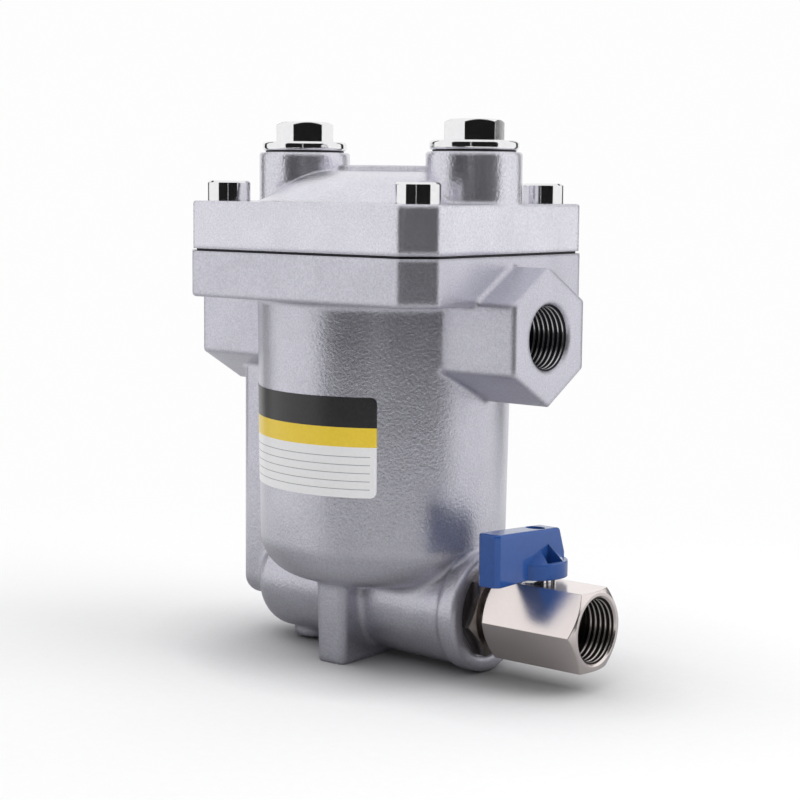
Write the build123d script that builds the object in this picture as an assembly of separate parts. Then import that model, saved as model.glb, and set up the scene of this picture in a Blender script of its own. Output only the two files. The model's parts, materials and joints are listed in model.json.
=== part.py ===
from build123d import *
import math
import os

# Automatic drain valve with a lever float inside and a manual ball valve at the foot.
# Millimetres, +Z up, origin on the bowl's axis at floor level, +X towards the air inlet.

# ---------------------------------------------------------------- driving dimensions

# Fits and joint faces
running_gap = 0.05          # radial gap of a thread, pin or bore that works in its mate
side_gap = 0.3              # axial play of a piece that swings between two cheeks
contact_gap = 0.03          # gap of curved faces that seal or rest on each other

# Bowl of the body casting
bowl_radius = 42.7          # outside, at the joint face
bowl_draft = 0.8            # degrees
bowl_wall = 5.7             # at the joint face
bowl_base_rise = 7.5        # base above the manifold tube's axis
bowl_base_round = 14.0
floor_depth = 6.5
floor_round = 6.0
joint_z = 135.3             # machined face that carries the gasket

# Four-screw flange
lug_x = 8.85                # cover plate beyond the bowl along X
lug_y = 3.85                # cover plate beyond the bowl along Y
flange_lip = 0.25           # casting beyond the cover plate, all round
flange_depth = 15.0
flange_edge_round = 1.2
flange_root_round = 2.0
corner_cut = 8.2
corner_round = 2.2
gasket_depth = 0.8
gasket_inset = 0.8

# Side ports, half-inch pipe thread
port_z = 110.3
port_across = 38.0
port_reach = 14.85          # end face beyond the cover plate
port_thread_depth = 15.0
port_mouth = 0.9            # countersink at the thread
port_edge_round = 1.5
port_end_bevel = 0.5
inlet_passage_radius = 8.0
outlet_passage_radius = 6.5
port_root_round = 1.2
pipe_thread_radius = 10.48
thread_lead = 1.0           # chamfer at the start of a male thread

# Discharge channel on the outlet side
duct_radius = 4.5
duct_offset = 5.4           # duct axis beyond the bowl
channel_wall = 4.0
channel_half_width = 12.0
channel_round = 7.0
channel_root_round = 2.5
channel_drop = 6.4          # channel end below the manifold axis

# Manifold tube under the bowl
collar_lift = 0.2           # collar clear of the floor
tube_end_x = 46.0
tube_taper = 1.9            # radius lost between the collar and the closed end
tube_end_round = 9.0
tube_neck_radius = 18.9
collar_lip = 0.9            # collar beyond the tube
collar_width = 6.6
collar_face_x = 45.0
collar_round = 0.6
collar_flare = 1.6          # slope from the tube up to the collar
collar_recess_radius = 15.1
collar_recess = 2.0
drain_chamber_radius = 7.0
drain_chamber_end_x = 12.0
blow_chamber_radius = 8.0
blow_chamber_start_x = 6.0
blow_hole_radius = 5.0
blow_hole_x = 16.0
collar_thread_depth = 12.8
tube_root_round = 2.2

# Foot fin that the casting stands on, and the round boss under the tube's closed end
foot_x = -1.4
foot_half_width = 5.8
foot_half_length = 26.0
foot_corner = 2.5
foot_draft = 1.4            # degrees
foot_root_round = 2.0
foot_edge_round = 0.8
pad_radius = 8.2
pad_x = 29.0
pad_lift = 1.2              # clear of the floor

# Cover casting
cover_depth = 15.5
cover_edge_round = 0.8
dome_inset = 0.7            # dome foot inside the bowl's radius
dome_angle = 31.0           # degrees
dome_rise = 10.4
dome_round = 35.0
dome_wall = 5.0
hollow_inset = 3.0          # hollow inside the bowl's cavity
hollow_shoulder = 8.4       # start of the hollow's slope below the plate
crown_radius = 16.0
crown_rise = 1.6
crown_round = 0.7
boss_radius = 15.5
boss_height = 16.4
boss_edge_round = 1.0
boss_thread_depth = 16.0
boss_passage_radius = 4.5
boss_passage_offset = 7.5

# Cover screws, M8 socket head
screw_edge_x = 11.8         # screw axis inside the plate's end
screw_edge_y = 13.0
screw_radius = 4.0
screw_head_radius = 7.1
screw_head_height = 8.0
screw_length = 25.5
screw_socket_across = 6.0
screw_socket_depth = 4.0
spotface_radius = 7.8
spotface_depth = 1.4
screw_clearance = 0.5

# Blanking plugs of the two top ports
plug_flange_radius = 14.5
plug_flange_depth = 3.1
plug_flange_round = 1.1
plug_thread_length = 12.0
plug_hex_across = 16.9
plug_hex_height = 6.7
plug_hex_turn = -12.0       # degrees, one corner from +X
plug_hollow_radius = 6.5
plug_hollow_depth = 9.0
seal_depth = 0.5
seal_width = 2.9

# Ball valve
valve_across = 25.3
adaptor_hex_width = 5.5
adaptor_hex_turn = 10.0     # degrees, where its thread came tight
adaptor_neck_width = 2.5
adaptor_neck_radius = 9.5
valve_length = 35.2
valve_thread_depth = 11.0
valve_mouth = 0.6
valve_bore_radius = 4.6
chamber_radius = 8.0
ball_radius = 7.5
seat_width = 2.5
stem_offset = 11.2          # stem axis from the valve body's inlet end
stem_radius = 3.0
stem_shoulder_radius = 4.2
stem_shoulder = 1.1
stem_tang = 3.0
stem_flats = 4.4
stem_top = 8.2              # above the valve body's top flat
packing_radius = 4.5
packing_depth = 1.0
packing_wall = 0.9
gland_flange_radius = 5.8
gland_flange_depth = 1.5
stop_pin_radius = 0.8
stop_pin_arm = 7.3
stop_pin_height = 3.9
stop_pin_root = 3.2

# Lever handle of the ball valve
handle_lift = 2.1           # underside above the valve body's top flat
handle_disc_radius = 10.5
handle_disc_depth = 5.1
handle_width = 8.1
handle_reach = 25.9
handle_tip_height = 16.6
handle_heel_height = 14.5
handle_heel_y = 7.6
handle_heel_slope = 3.1
handle_heel_foot = 6.2
handle_round = 0.9
handle_corner = 1.4         # bevel of the upright edges at the tip
gusset_height = 5.0
gusset_y = 1.4
gusset_shoulder_height = 3.3
gusset_shoulder_y = -2.5
gusset_angles = (-64.0, -31.0, 8.0, 66.0)   # corners on the rim, degrees from the pin side
gusset_pocket_wall = 0.8
handle_slot_depth = 2.2
handle_slot_gap = 0.25
handle_turn = 90.0          # degrees from closed to open
pocket_radius = 3.15
pocket_depth = 4.4
handle_screw_radius = 1.95
handle_screw_head_radius = 2.9
handle_screw_head = 2.2
handle_screw_length = 8.4

# Drain seat in the bowl floor
seat_thread_radius = 6.95
seat_thread_length = 5.5
seat_gasket_depth = 0.8
seat_gasket_width = 2.1
seat_across = 17.0
seat_hex_height = 3.2
seat_rim_radius = 3.5
seat_rim_height = 2.0
seat_orifice_radius = 2.0
seat_back_radius = 5.0
seat_arm = 7.5              # plug centre from the pivot

# Lever bracket and pivot
bracket_sheet = 1.5
bracket_length = 26.0
cheek_inner_y = 12.0
cheek_radius = 4.0
cheek_foot = 11.0
pivot_height = 12.0         # above the bowl floor
pivot_radius = 2.0
pivot_head_radius = 3.2
pivot_head = 1.2
pin_end = 1.2               # pin beyond its clip
clip_sheet = 0.6
clip_groove = 0.5
clip_radius = 4.0
bracket_screw_radius = 2.0
bracket_screw_head_radius = 3.5
bracket_screw_head = 2.4
bracket_screw_length = 8.0
bracket_screw_y = 8.0

# Float lever, plug and float
hub_radius = 3.6
lever_width = 10.0
lever_sheet = 2.5
lever_bend = 2.2
bend_clearance = 0.1        # between the plug's washer and the lever's bend
plug_radius = 4.5
plug_depth = 2.5
plug_neck_radius = 1.5
plug_edge_round = 0.4
plug_lift = 0.1             # closed plug above the seat rim
retainer_radius = 3.0
retainer_depth = 0.8
float_inset = 12.0          # float radius less than the cavity's
float_sheet = 0.6
float_wall_gap = 2.5
stud_height = 9.64         # stud's seat on the tab above the pin
boss_tilt = 25.0            # degrees, stud below the horizontal
float_boss_radius = 6.0
float_boss_depth = 3.0
stud_radius = 2.5
locknut_across = 8.0
locknut_depth = 4.0
stud_end = 1.5              # stud beyond its locknut
tab_rise = 6.0              # tab's end above the stud's axis

# ---------------------------------------------------------------- places worked out from them

tube_end_radius = tube_neck_radius - tube_taper
collar_radius = tube_neck_radius + collar_lip
manifold_z = collar_radius + collar_lift
bowl_base_z = manifold_z + bowl_base_rise
cavity_radius = bowl_radius - bowl_wall
floor_z = bowl_base_z + floor_depth
plate_x = bowl_radius + lug_x
plate_y = bowl_radius + lug_y
flange_base_z = joint_z - flange_depth
cover_base_z = joint_z + gasket_depth
cover_top_z = cover_base_z + cover_depth
boss_x = plate_x - boss_radius
boss_top_z = cover_top_z + boss_height
screw_places = [
    (x * (plate_x - screw_edge_x), y * (plate_y - screw_edge_y))
    for x in (-1, 1)
    for y in (-1, 1)
]
port_face_x = plate_x + port_reach
duct_x = bowl_radius + duct_offset
channel_x = duct_x + duct_radius + channel_wall
valve_start_x = collar_face_x - collar_recess
body_start_x = valve_start_x + adaptor_hex_width + adaptor_neck_width
stem_x = body_start_x + stem_offset
flat_z = manifold_z + valve_across / 2
handle_z = flat_z + handle_lift
pivot_z = floor_z + pivot_height
rim_z = floor_z + seat_gasket_depth + seat_hex_height + seat_rim_height
float_radius = cavity_radius - float_inset
float_x = cavity_radius - float_wall_gap - float_radius
tab_base = float_radius + float_boss_depth
tab_lean = math.radians(boss_tilt)
tab_x = float_x - (tab_base + lever_sheet / 2) * math.cos(tab_lean)
tab_z = pivot_z + stud_height
float_z = tab_z + (tab_base + lever_sheet / 2) * math.sin(tab_lean)
lever_corner_x = tab_x + (tab_z - pivot_z) * math.tan(tab_lean)
bend_reach = lever_bend * math.tan(math.radians(90 + boss_tilt) / 2)
seat_x = lever_corner_x - bend_reach - bend_clearance - retainer_radius
pivot_x = seat_x - seat_arm


# ---------------------------------------------------------------- shared shapes

def lathe(points, rounds=None):
    """Solid of revolution about Z from (radius, height) points; rounds gives fillets by point number."""
    face = make_face(Polyline(*points, close=True))
    for number, radius in (rounds or {}).items():
        corner = face.vertices().sort_by_distance(Vector(*points[number]))[0]
        face = fillet(corner, radius)
    return revolve(Plane.XZ * face, Axis.Z)


def along_x(x, solid):
    """Turn a solid made about Z so that its axis is the manifold's, starting at x."""
    return Location((x, 0, manifold_z), (0, 90, 0)) * solid


def rod(radius, start, end):
    """Round bar about Z between two heights."""
    return Pos(0, 0, start) * Cylinder(radius, end - start, align=(Align.CENTER, Align.CENTER, Align.MIN))


def ring(outer, inner, start, end):
    """Flat ring about Z between two heights."""
    return rod(outer, start, end) - rod(inner, start - 1, end + 1)


def bevelled(solid, size, end=-1):
    """A turned piece with its highest edge, or its lowest if end is 0, chamfered."""
    return chamfer(solid.edges().sort_by(Axis.Z)[end], size)


def rounded(solid, radius, end=-1):
    """A turned piece with its highest edge, or its lowest if end is 0, filleted."""
    return fillet(solid.edges().sort_by(Axis.Z)[end], radius)


def hexagon(across, turn=0.0):
    """Flat hexagon of the given width across flats."""
    return RegularPolygon(across / 2, 6, major_radius=False, rotation=turn)


def hexagon_bar(across, start, end, turn=0.0, cut_start=False, cut_end=False):
    """Hexagon bar about Z whose corners are cut back by 30 degree cones at the chosen ends."""
    slope = math.tan(math.radians(30))
    corner = across / math.sqrt(3)
    land = across / 2 - 0.02 * across
    drop = (corner - land) * slope
    low = drop if cut_start else 0
    high = drop if cut_end else 0
    bar = Pos(0, 0, start) * extrude(hexagon(across, turn), end - start)
    points = [(0, start), (corner - low / slope, start), (corner, start + low)]
    points += [(corner, end - high), (corner - high / slope, end), (0, end)]
    kept = [point for number, point in enumerate(points) if point not in points[:number]]
    return bar & lathe(kept)


def socket(radius, depth, mouth):
    """Cutter for a blind threaded hole that enters from z = 0 downwards, with a countersunk mouth."""
    over = 0.5
    return lathe([(0, over), (radius + mouth + over, over), (radius, -mouth), (radius, -depth), (0, -depth)])


def plate(half_x, half_y, cut, depth):
    """Plate on z = 0 with its four corners cut at 45 degrees and its upright edges eased."""
    outline = chamfer(Rectangle(2 * half_x, 2 * half_y).vertices(), cut)
    outline = fillet(outline.vertices(), corner_round)
    return extrude(outline, depth)


def joined(first, second, radius):
    """Two solids fused, with a fillet along the seam between them."""
    whole = first + second
    return fillet(new_edges(first, second, combined=whole), radius)


# ---------------------------------------------------------------- body casting

def bowl():
    """Drafted bowl with a large radius round its base."""
    base_radius = bowl_radius - (joint_z - bowl_base_z) * math.tan(math.radians(bowl_draft))
    points = [(0, bowl_base_z), (base_radius, bowl_base_z), (bowl_radius, joint_z), (0, joint_z)]
    return lathe(points, {1: bowl_base_round})


def manifold_tube():
    """Tapered tube under the bowl, closed and rounded at its far end."""
    length = tube_end_x + collar_face_x - collar_width / 2
    points = [(0, 0), (tube_end_radius, 0), (tube_neck_radius, length), (0, length)]
    return along_x(-tube_end_x, lathe(points, {1: tube_end_round}))


def collar():
    """Collar at the open end of the manifold tube, sloping up from the tube's surface."""
    back = -collar_width - collar_flare
    root = tube_neck_radius - collar_lip
    points = [(0, back), (root, back), (collar_radius, -collar_width), (collar_radius, 0), (0, 0)]
    return along_x(collar_face_x, lathe(points, {2: collar_flare, 3: collar_round}))


def discharge_channel():
    """Upright rounded rib on the outlet side that carries the discharge duct."""
    height = port_z - manifold_z + channel_drop
    inner = bowl_radius / 2
    outline = Pos(-(channel_x + inner) / 2, 0) * Rectangle(channel_x - inner, 2 * channel_half_width)
    outline = fillet(outline.vertices().group_by(Axis.X)[0], channel_round)
    rib = Pos(0, 0, manifold_z - channel_drop) * extrude(outline, height)
    low_edges = rib.faces().sort_by(Axis.Z)[0].edges().filter_by(lambda edge: edge.center().X < -inner - 0.1)
    return fillet(low_edges, channel_round - 1)


def foot():
    """Fin across the tube that the valve stands on, drafted from its base."""
    outline = RectangleRounded(2 * foot_half_width, 2 * foot_half_length, foot_corner)
    fin = extrude(outline, bowl_base_z + floor_depth / 2, taper=-foot_draft)
    return Pos(foot_x, 0, 0) * fillet(fin.faces().sort_by(Axis.Z)[0].edges(), foot_edge_round)


def round_pad():
    """Round boss under the closed end of the tube."""
    pad = rod(pad_radius, pad_lift, manifold_z)
    return Pos(-pad_x, 0, 0) * rounded(pad, foot_edge_round, 0)


def side_port():
    """Hexagon port blank that points along +X, corners up and down, its end face bevelled."""
    outline = fillet(hexagon(port_across).vertices(), port_edge_round)
    bar = extrude(outline, port_face_x - bowl_radius / 2)
    bar = chamfer(bar.faces().sort_by(Axis.Z)[-1].edges(), port_end_bevel)
    return Location((bowl_radius / 2, 0, port_z), (0, 90, 0)) * bar


def casting_blank():
    """Outside of the body casting with its cast fillets."""
    flange = plate(plate_x + flange_lip, plate_y + flange_lip, corner_cut, flange_depth)
    flange = fillet(flange.faces().sort_by(Axis.Z)[0].edges(), flange_edge_round)
    body = joined(bowl(), manifold_tube(), tube_root_round)
    body = joined(body, foot(), foot_root_round)
    body = joined(body, discharge_channel(), channel_root_round)
    body = joined(body, Pos(0, 0, flange_base_z) * flange, flange_root_round)
    for side in (0, 180):
        body = joined(body, Rot(0, 0, side) * side_port(), port_root_round)
    return body + round_pad() + collar()


def body_casting():
    """Body casting with its cored passages, threads and tapped holes."""
    body = casting_blank()
    cavity = [(0, floor_z), (cavity_radius, floor_z), (cavity_radius, joint_z + 1), (0, joint_z + 1)]
    body -= lathe(cavity, {1: floor_round})
    thread = socket(pipe_thread_radius, port_thread_depth, port_mouth)
    for side in (-1, 1):
        body -= Location((side * port_face_x, 0, port_z), (0, side * 90, 0)) * thread
    inner_end = port_face_x - port_thread_depth
    inlet = rod(inlet_passage_radius, cavity_radius - bowl_wall, inner_end + 1)
    body -= Location((0, 0, port_z), (0, 90, 0)) * inlet
    outlet = rod(outlet_passage_radius, duct_x - duct_radius / 2, inner_end + 1)
    body -= Location((0, 0, port_z), (0, -90, 0)) * outlet
    body -= Pos(-duct_x, 0, 0) * rod(duct_radius, manifold_z, port_z)
    body -= Pos(-duct_x, 0, manifold_z) * Sphere(duct_radius)
    body -= along_x(-duct_x, rod(duct_radius, 0, duct_x - seat_x))
    drain_chamber = rod(drain_chamber_radius, duct_offset + duct_radius, duct_x - drain_chamber_end_x)
    body -= along_x(-duct_x, drain_chamber)
    body -= along_x(0, rod(blow_chamber_radius, blow_chamber_start_x, collar_face_x))
    body -= along_x(collar_face_x, socket(collar_recess_radius, collar_recess, 0.01))
    body -= along_x(valve_start_x, socket(pipe_thread_radius, collar_thread_depth, port_mouth))
    body -= Pos(blow_hole_x, 0, 0) * rod(blow_hole_radius, manifold_z, floor_z + 1)
    body -= Pos(seat_x, 0, 0) * rod(seat_thread_radius + running_gap, manifold_z, floor_z + 1)
    for x, y in screw_places:
        depth = screw_length - cover_depth + spotface_depth - gasket_depth + 1
        body -= Pos(x, y, joint_z) * socket(screw_radius + running_gap, depth, screw_clearance)
    for y in (-bracket_screw_y, bracket_screw_y):
        depth = bracket_screw_length - bracket_sheet + 1
        body -= Pos(bracket_screw_x(), y, floor_z) * socket(bracket_screw_radius + running_gap, depth, 0.2)
    return body


# ---------------------------------------------------------------- cover and its fasteners

def cover():
    """Cover casting: plate, shallow dome, flat crown and two threaded bosses, hollow underneath."""
    slope = math.tan(math.radians(dome_angle))
    dome_radius = bowl_radius - dome_inset
    dome_top_z = cover_top_z + dome_rise
    slab = plate(plate_x, plate_y, corner_cut, cover_depth)
    slab = Pos(0, 0, cover_base_z) * fillet(slab.faces().sort_by(Axis.Z)[-1].edges(), cover_edge_round)
    outline = [(0, cover_base_z), (dome_radius, cover_base_z), (dome_radius, cover_top_z)]
    outline += [(dome_radius - dome_rise / slope, dome_top_z), (0, dome_top_z)]
    body = slab + lathe(outline, {3: dome_round})
    crown = rounded(rod(crown_radius, cover_top_z, dome_top_z + crown_rise), crown_round)
    body = joined(body, crown, crown_round)
    boss = rounded(rod(boss_radius, cover_top_z - dome_wall, boss_top_z), boss_edge_round)
    for side in (-1, 1):
        body += Pos(side * boss_x, 0, 0) * boss
    hollow_radius = cavity_radius - hollow_inset
    shoulder_z = cover_top_z - hollow_shoulder
    hollow_top_z = dome_top_z - dome_wall
    hollow = [(0, cover_base_z - 1), (hollow_radius, cover_base_z - 1), (hollow_radius, shoulder_z)]
    hollow += [(hollow_radius - (hollow_top_z - shoulder_z) / slope, hollow_top_z), (0, hollow_top_z)]
    body -= lathe(hollow, {2: floor_round})
    for side in (-1, 1):
        body -= Pos(side * boss_x, 0, boss_top_z) * socket(pipe_thread_radius, boss_thread_depth, valve_mouth)
        passage = rod(boss_passage_radius, cover_base_z, boss_top_z - boss_thread_depth + 1)
        body -= Pos(side * (boss_x - boss_passage_offset), 0, 0) * passage
    spotface = rod(spotface_radius, cover_top_z - spotface_depth, cover_top_z + spotface_radius)
    for x, y in screw_places:
        body -= Pos(x, y, 0) * rod(screw_radius + screw_clearance, cover_base_z - 1, cover_top_z)
        body -= Pos(x, y, 0) * spotface
    return body


def cover_gasket():
    """Flat gasket with the flange's outline, a bowl opening and four screw holes."""
    sheet = plate(plate_x - gasket_inset, plate_y - gasket_inset, corner_cut, gasket_depth)
    sheet -= rod(cavity_radius, -1, gasket_depth + 1)
    for x, y in screw_places:
        sheet -= Pos(x, y, 0) * rod(screw_radius + screw_clearance, -1, gasket_depth + 1)
    return Pos(0, 0, joint_z) * sheet


def socket_screw(radius, length, head_radius, head_height, socket_across, socket_depth):
    """Socket-head cap screw about Z, its head seated on z = 0."""
    head = bevelled(rod(head_radius, 0, head_height), 0.08 * head_height)
    shank = bevelled(rod(radius, -length, 0), radius / 6, 0)
    key = Pos(0, 0, head_height - socket_depth) * extrude(hexagon(socket_across), socket_depth + 1)
    return head + shank - key


def cover_screw():
    """M8 screw that clamps the cover."""
    sizes = (screw_head_radius, screw_head_height, screw_socket_across, screw_socket_depth)
    return socket_screw(screw_radius, screw_length, *sizes)


def top_plug():
    """Hexagon-headed blanking plug with a flange, about Z, its flange seated on z = 0."""
    flange = fillet(rod(plug_flange_radius, 0, plug_flange_depth).edges(), plug_flange_round)
    thread_radius = pipe_thread_radius - running_gap
    thread = bevelled(rod(thread_radius, -plug_thread_length, plug_flange_depth / 2), thread_lead, 0)
    head_top = plug_flange_depth + plug_hex_height
    head = hexagon_bar(plug_hex_across, plug_flange_depth / 2, head_top, plug_hex_turn, cut_end=True)
    hollow = rod(plug_hollow_radius, -plug_thread_length - 1, plug_hollow_depth - plug_thread_length)
    return flange + thread + head - hollow


def plug_seal():
    """Sealing ring between a boss and its plug, seated on z = 0."""
    inner = pipe_thread_radius + valve_mouth
    return ring(inner + seal_width - valve_mouth, inner, 0, seal_depth)


# ---------------------------------------------------------------- ball valve

def valve_body():
    """Hexagon bar body: ball chamber, waterway, outlet thread and stem pocket."""
    bar = hexagon_bar(valve_across, 0, valve_length, 90, cut_start=True, cut_end=True)
    outlet_seat_end = stem_offset + ball_seat_reach() + seat_width
    bar -= rod(chamber_radius, -1, outlet_seat_end)
    bar -= rod(valve_bore_radius, 0, valve_length)
    bar -= Pos(0, 0, valve_length) * socket(pipe_thread_radius, valve_thread_depth, valve_mouth)
    body = along_x(body_start_x, bar)
    shoulder_top = shoulder_base_z() + stem_shoulder
    pocket_z = shoulder_top + contact_gap + packing_wall
    stem_hole = rod(stem_shoulder_radius + running_gap, manifold_z, shoulder_top + contact_gap)
    stem_hole += rod(stem_radius + running_gap, manifold_z, flat_z + 1)
    stem_hole += rod(packing_radius + running_gap, pocket_z, flat_z + 1)
    body -= Pos(stem_x, 0, 0) * stem_hole
    pin_x = stem_x + stop_pin_arm
    body -= Pos(pin_x, 0, 0) * rod(stop_pin_radius + running_gap, flat_z - stop_pin_root, flat_z + 1)
    return body


def ball_seat_reach():
    """Distance from the ball's centre to the near face of a seat ring."""
    return 0.64 * ball_radius


def shoulder_base_z():
    """Underside of the stem's shoulder, just above the ball."""
    return manifold_z + ball_radius + 4 * running_gap


def valve_adaptor():
    """Turned adaptor: collar thread, wrench hexagon, neck and spigot, bored through."""
    thread_radius = pipe_thread_radius - running_gap
    length = collar_thread_depth - 0.5
    neck_end = adaptor_hex_width + adaptor_neck_width
    spigot = stem_offset - ball_seat_reach() - seat_width
    thread = bevelled(rod(thread_radius, -length, 0), thread_lead, 0)
    head = hexagon_bar(valve_across, 0, adaptor_hex_width, 90 + adaptor_hex_turn, cut_end=True)
    neck = rod(adaptor_neck_radius, 0, neck_end)
    tail = rod(chamber_radius - running_gap, 0, neck_end + spigot)
    body = thread + head + neck + tail - rod(valve_bore_radius, -length - 1, neck_end + spigot + 1)
    return along_x(valve_start_x, body)


def ball_seat(side):
    """PTFE ring that the ball turns against; side -1 is upstream and 1 downstream."""
    near = ball_seat_reach()
    blank = ring(chamber_radius - running_gap, valve_bore_radius, near, near + seat_width)
    blank -= Sphere(ball_radius + contact_gap)
    return Location((stem_x, 0, manifold_z), (0, side * 90, 0)) * blank


def ball_slot_floor():
    """Height of the slot's floor above the ball's centre."""
    return (ball_radius + valve_bore_radius) / 2 - running_gap * 12


def valve_ball():
    """Ball with its bore across the pipe when shut and a slot on top for the stem."""
    ball = Sphere(ball_radius)
    ball -= Rot(90, 0, 0) * rod(valve_bore_radius, -2 * ball_radius, 2 * ball_radius)
    slot_width = stem_tang + 2 * running_gap
    slot = Box(3 * ball_radius, slot_width, ball_radius, align=(Align.CENTER, Align.CENTER, Align.MIN))
    ball -= Pos(0, 0, ball_slot_floor()) * slot
    return Pos(stem_x, 0, manifold_z) * ball


def valve_stem():
    """Stem with a tang for the ball, a blow-out-proof shoulder and flats for the handle."""
    slot_floor_z = manifold_z + ball_slot_floor()
    base_z = shoulder_base_z()
    top_z = flat_z + stem_top
    tang = rod(stem_radius, slot_floor_z + contact_gap, base_z) & Pos(0, 0, base_z) * Box(
        4 * stem_radius, stem_tang, 4 * ball_radius)
    shoulder = rod(stem_shoulder_radius, base_z, base_z + stem_shoulder)
    spindle = rod(stem_radius, base_z, top_z)
    for side in (-1, 1):
        flat = Box(4 * stem_radius, stem_flats, top_z, align=(Align.CENTER, Align.MIN, Align.MIN))
        spindle -= Rot(0, 0, 90 * side) * Pos(0, stem_flats / 2, handle_z) * flat
    thread = rod(handle_screw_radius + running_gap, top_z - handle_screw_length * 0.6, top_z + 1)
    return Pos(stem_x, 0, 0) * (tang + shoulder + spindle - thread)


def stem_packing():
    """PTFE packing ring round the stem."""
    base_z = shoulder_base_z() + stem_shoulder + contact_gap + packing_wall
    return Pos(stem_x, 0, 0) * ring(packing_radius, stem_radius + running_gap, base_z, base_z + packing_depth)


def stem_gland():
    """Threaded gland that presses on the packing, with a round flange on the body's flat."""
    base_z = shoulder_base_z() + stem_shoulder + contact_gap + packing_wall + packing_depth
    nose = rod(packing_radius, base_z, flat_z)
    flange = rod(gland_flange_radius, flat_z, flat_z + gland_flange_depth)
    flange = bevelled(flange, gland_flange_depth / 5)
    return Pos(stem_x, 0, 0) * (nose + flange - rod(stem_radius + running_gap, base_z - 1, handle_z))


def stop_pin():
    """Upright pin in the valve body that limits the handle's turn."""
    pin = rod(stop_pin_radius, flat_z - stop_pin_root, flat_z + stop_pin_height)
    return Pos(stem_x + stop_pin_arm, 0, 0) * bevelled(pin, stop_pin_radius / 5)


def rim_point(angle, inset):
    """Point on the top of the handle's disc, inset from its rim."""
    radius = handle_disc_radius - inset
    radians = math.radians(angle)
    return Vector(radius * math.cos(radians), radius * math.sin(radians), handle_disc_depth)


def handle_gusset():
    """Faceted brace from the lever's side down to the disc's rim."""
    side = handle_width / 2
    inside = handle_width / 4
    left, front, middle, right = [rim_point(angle, 0.4) for angle in gusset_angles]
    shoulder = Vector(side, gusset_shoulder_y, handle_disc_depth + gusset_shoulder_height)
    peak = Vector(side, gusset_y, handle_disc_depth + gusset_height)
    left_root, shoulder_root, peak_root, right_root = [
        Vector(inside, corner.Y, corner.Z) for corner in (left, shoulder, peak, right)
    ]
    outlines = [
        (left_root, right_root, right, middle, front, left),
        (left, front, shoulder),
        (shoulder, front, middle, peak),
        (middle, right, peak),
        (left_root, left, shoulder, shoulder_root),
        (shoulder_root, shoulder, peak, peak_root),
        (right, right_root, peak_root, peak),
        (left_root, shoulder_root, peak_root, right_root),
    ]
    faces = []
    for outline in outlines:
        for number in range(1, len(outline) - 1):
            corners = (outline[0], outline[number], outline[number + 1])
            faces.append(Face(Wire.make_polygon(corners, close=True)))
    return Solid(Shell(faces))


def gusset_pocket():
    """Cutter for the open-topped pocket that keeps the brace from being one thick lump."""
    side = handle_width / 2
    front, middle = [rim_point(angle, gusset_pocket_wall) for angle in gusset_angles[1:3]]
    corners = [(side, gusset_shoulder_y), (front.X, front.Y), (middle.X, middle.Y), (side, gusset_y)]
    floor = handle_slot_depth + gusset_pocket_wall
    return Pos(0, 0, floor) * extrude(make_face(Polyline(*corners, close=True)), handle_tip_height)


def handle():
    """Moulded lever: disc hub, tapering fin, braced sides, stop slot, stem socket and screw pocket."""
    disc = rod(handle_disc_radius, 0, handle_disc_depth)
    side = make_face(Polyline(
        (-handle_reach, 0), (-handle_reach, handle_tip_height), (handle_heel_y, handle_heel_height),
        (handle_heel_y + handle_heel_slope, handle_heel_foot), (handle_heel_y + handle_heel_slope, 0),
        close=True))
    fin = Pos(-handle_width / 2, 0, 0) * extrude(Plane.YZ * side, handle_width)
    fin = chamfer(fin.edges().filter_by(Axis.Z).group_by(Axis.Y)[0], handle_corner)
    fin = fillet(fin.edges().filter_by(lambda edge: edge.center().Z > handle_heel_height - 1), handle_round)
    body = rounded(disc, handle_round / 2) + fin
    for turn in (0, 180):
        body += Rot(0, 0, turn) * handle_gusset()
        body -= Rot(0, 0, turn) * gusset_pocket()
    top_z = flat_z + stem_top - handle_z
    flats = Rectangle(stem_flats + 2 * running_gap, 3 * stem_radius)
    socket_hole = extrude(Circle(stem_radius + running_gap) & flats, top_z + 0.1)
    body -= socket_hole
    body -= rod(handle_screw_radius + running_gap, 0, handle_heel_height)
    body -= rod(pocket_radius, handle_heel_height - pocket_depth, 2 * handle_tip_height)
    slot_half = stop_pin_radius + handle_slot_gap
    slot = ring(stop_pin_arm + slot_half, stop_pin_arm - slot_half, -1, handle_slot_depth)
    sector = make_face(Polyline((0, 0), (3 * handle_reach, 0), (0, -3 * handle_reach), close=True))
    slot = slot & Pos(0, 0, -1) * extrude(sector, 1 + handle_slot_depth)
    for turn in (0, -handle_turn):
        slot += Rot(0, 0, turn) * Pos(stop_pin_arm, 0, 0) * rod(slot_half, -1, handle_slot_depth)
    return Pos(stem_x, 0, handle_z) * (body - slot)


def handle_screw():
    """Pan-head screw that holds the handle on the stem."""
    seat_z = handle_z + handle_heel_height - pocket_depth
    head = rounded(rod(handle_screw_head_radius, 0, handle_screw_head), 0.35 * handle_screw_head)
    shank = rod(handle_screw_radius, -handle_screw_length, 0)
    arm = Box(2 * handle_screw_radius, 0.5 * handle_screw_radius, handle_screw_head)
    cross = Pos(0, 0, handle_screw_head) * (arm + Rot(0, 0, 90) * arm)
    return Pos(stem_x, 0, seat_z) * (head + shank - cross)


# ---------------------------------------------------------------- float mechanism

def bracket_screw_x():
    """Row of the bracket's screws, near the bracket's far end."""
    return pivot_x + bracket_length - 2 * bracket_screw_radius - 1


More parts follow.
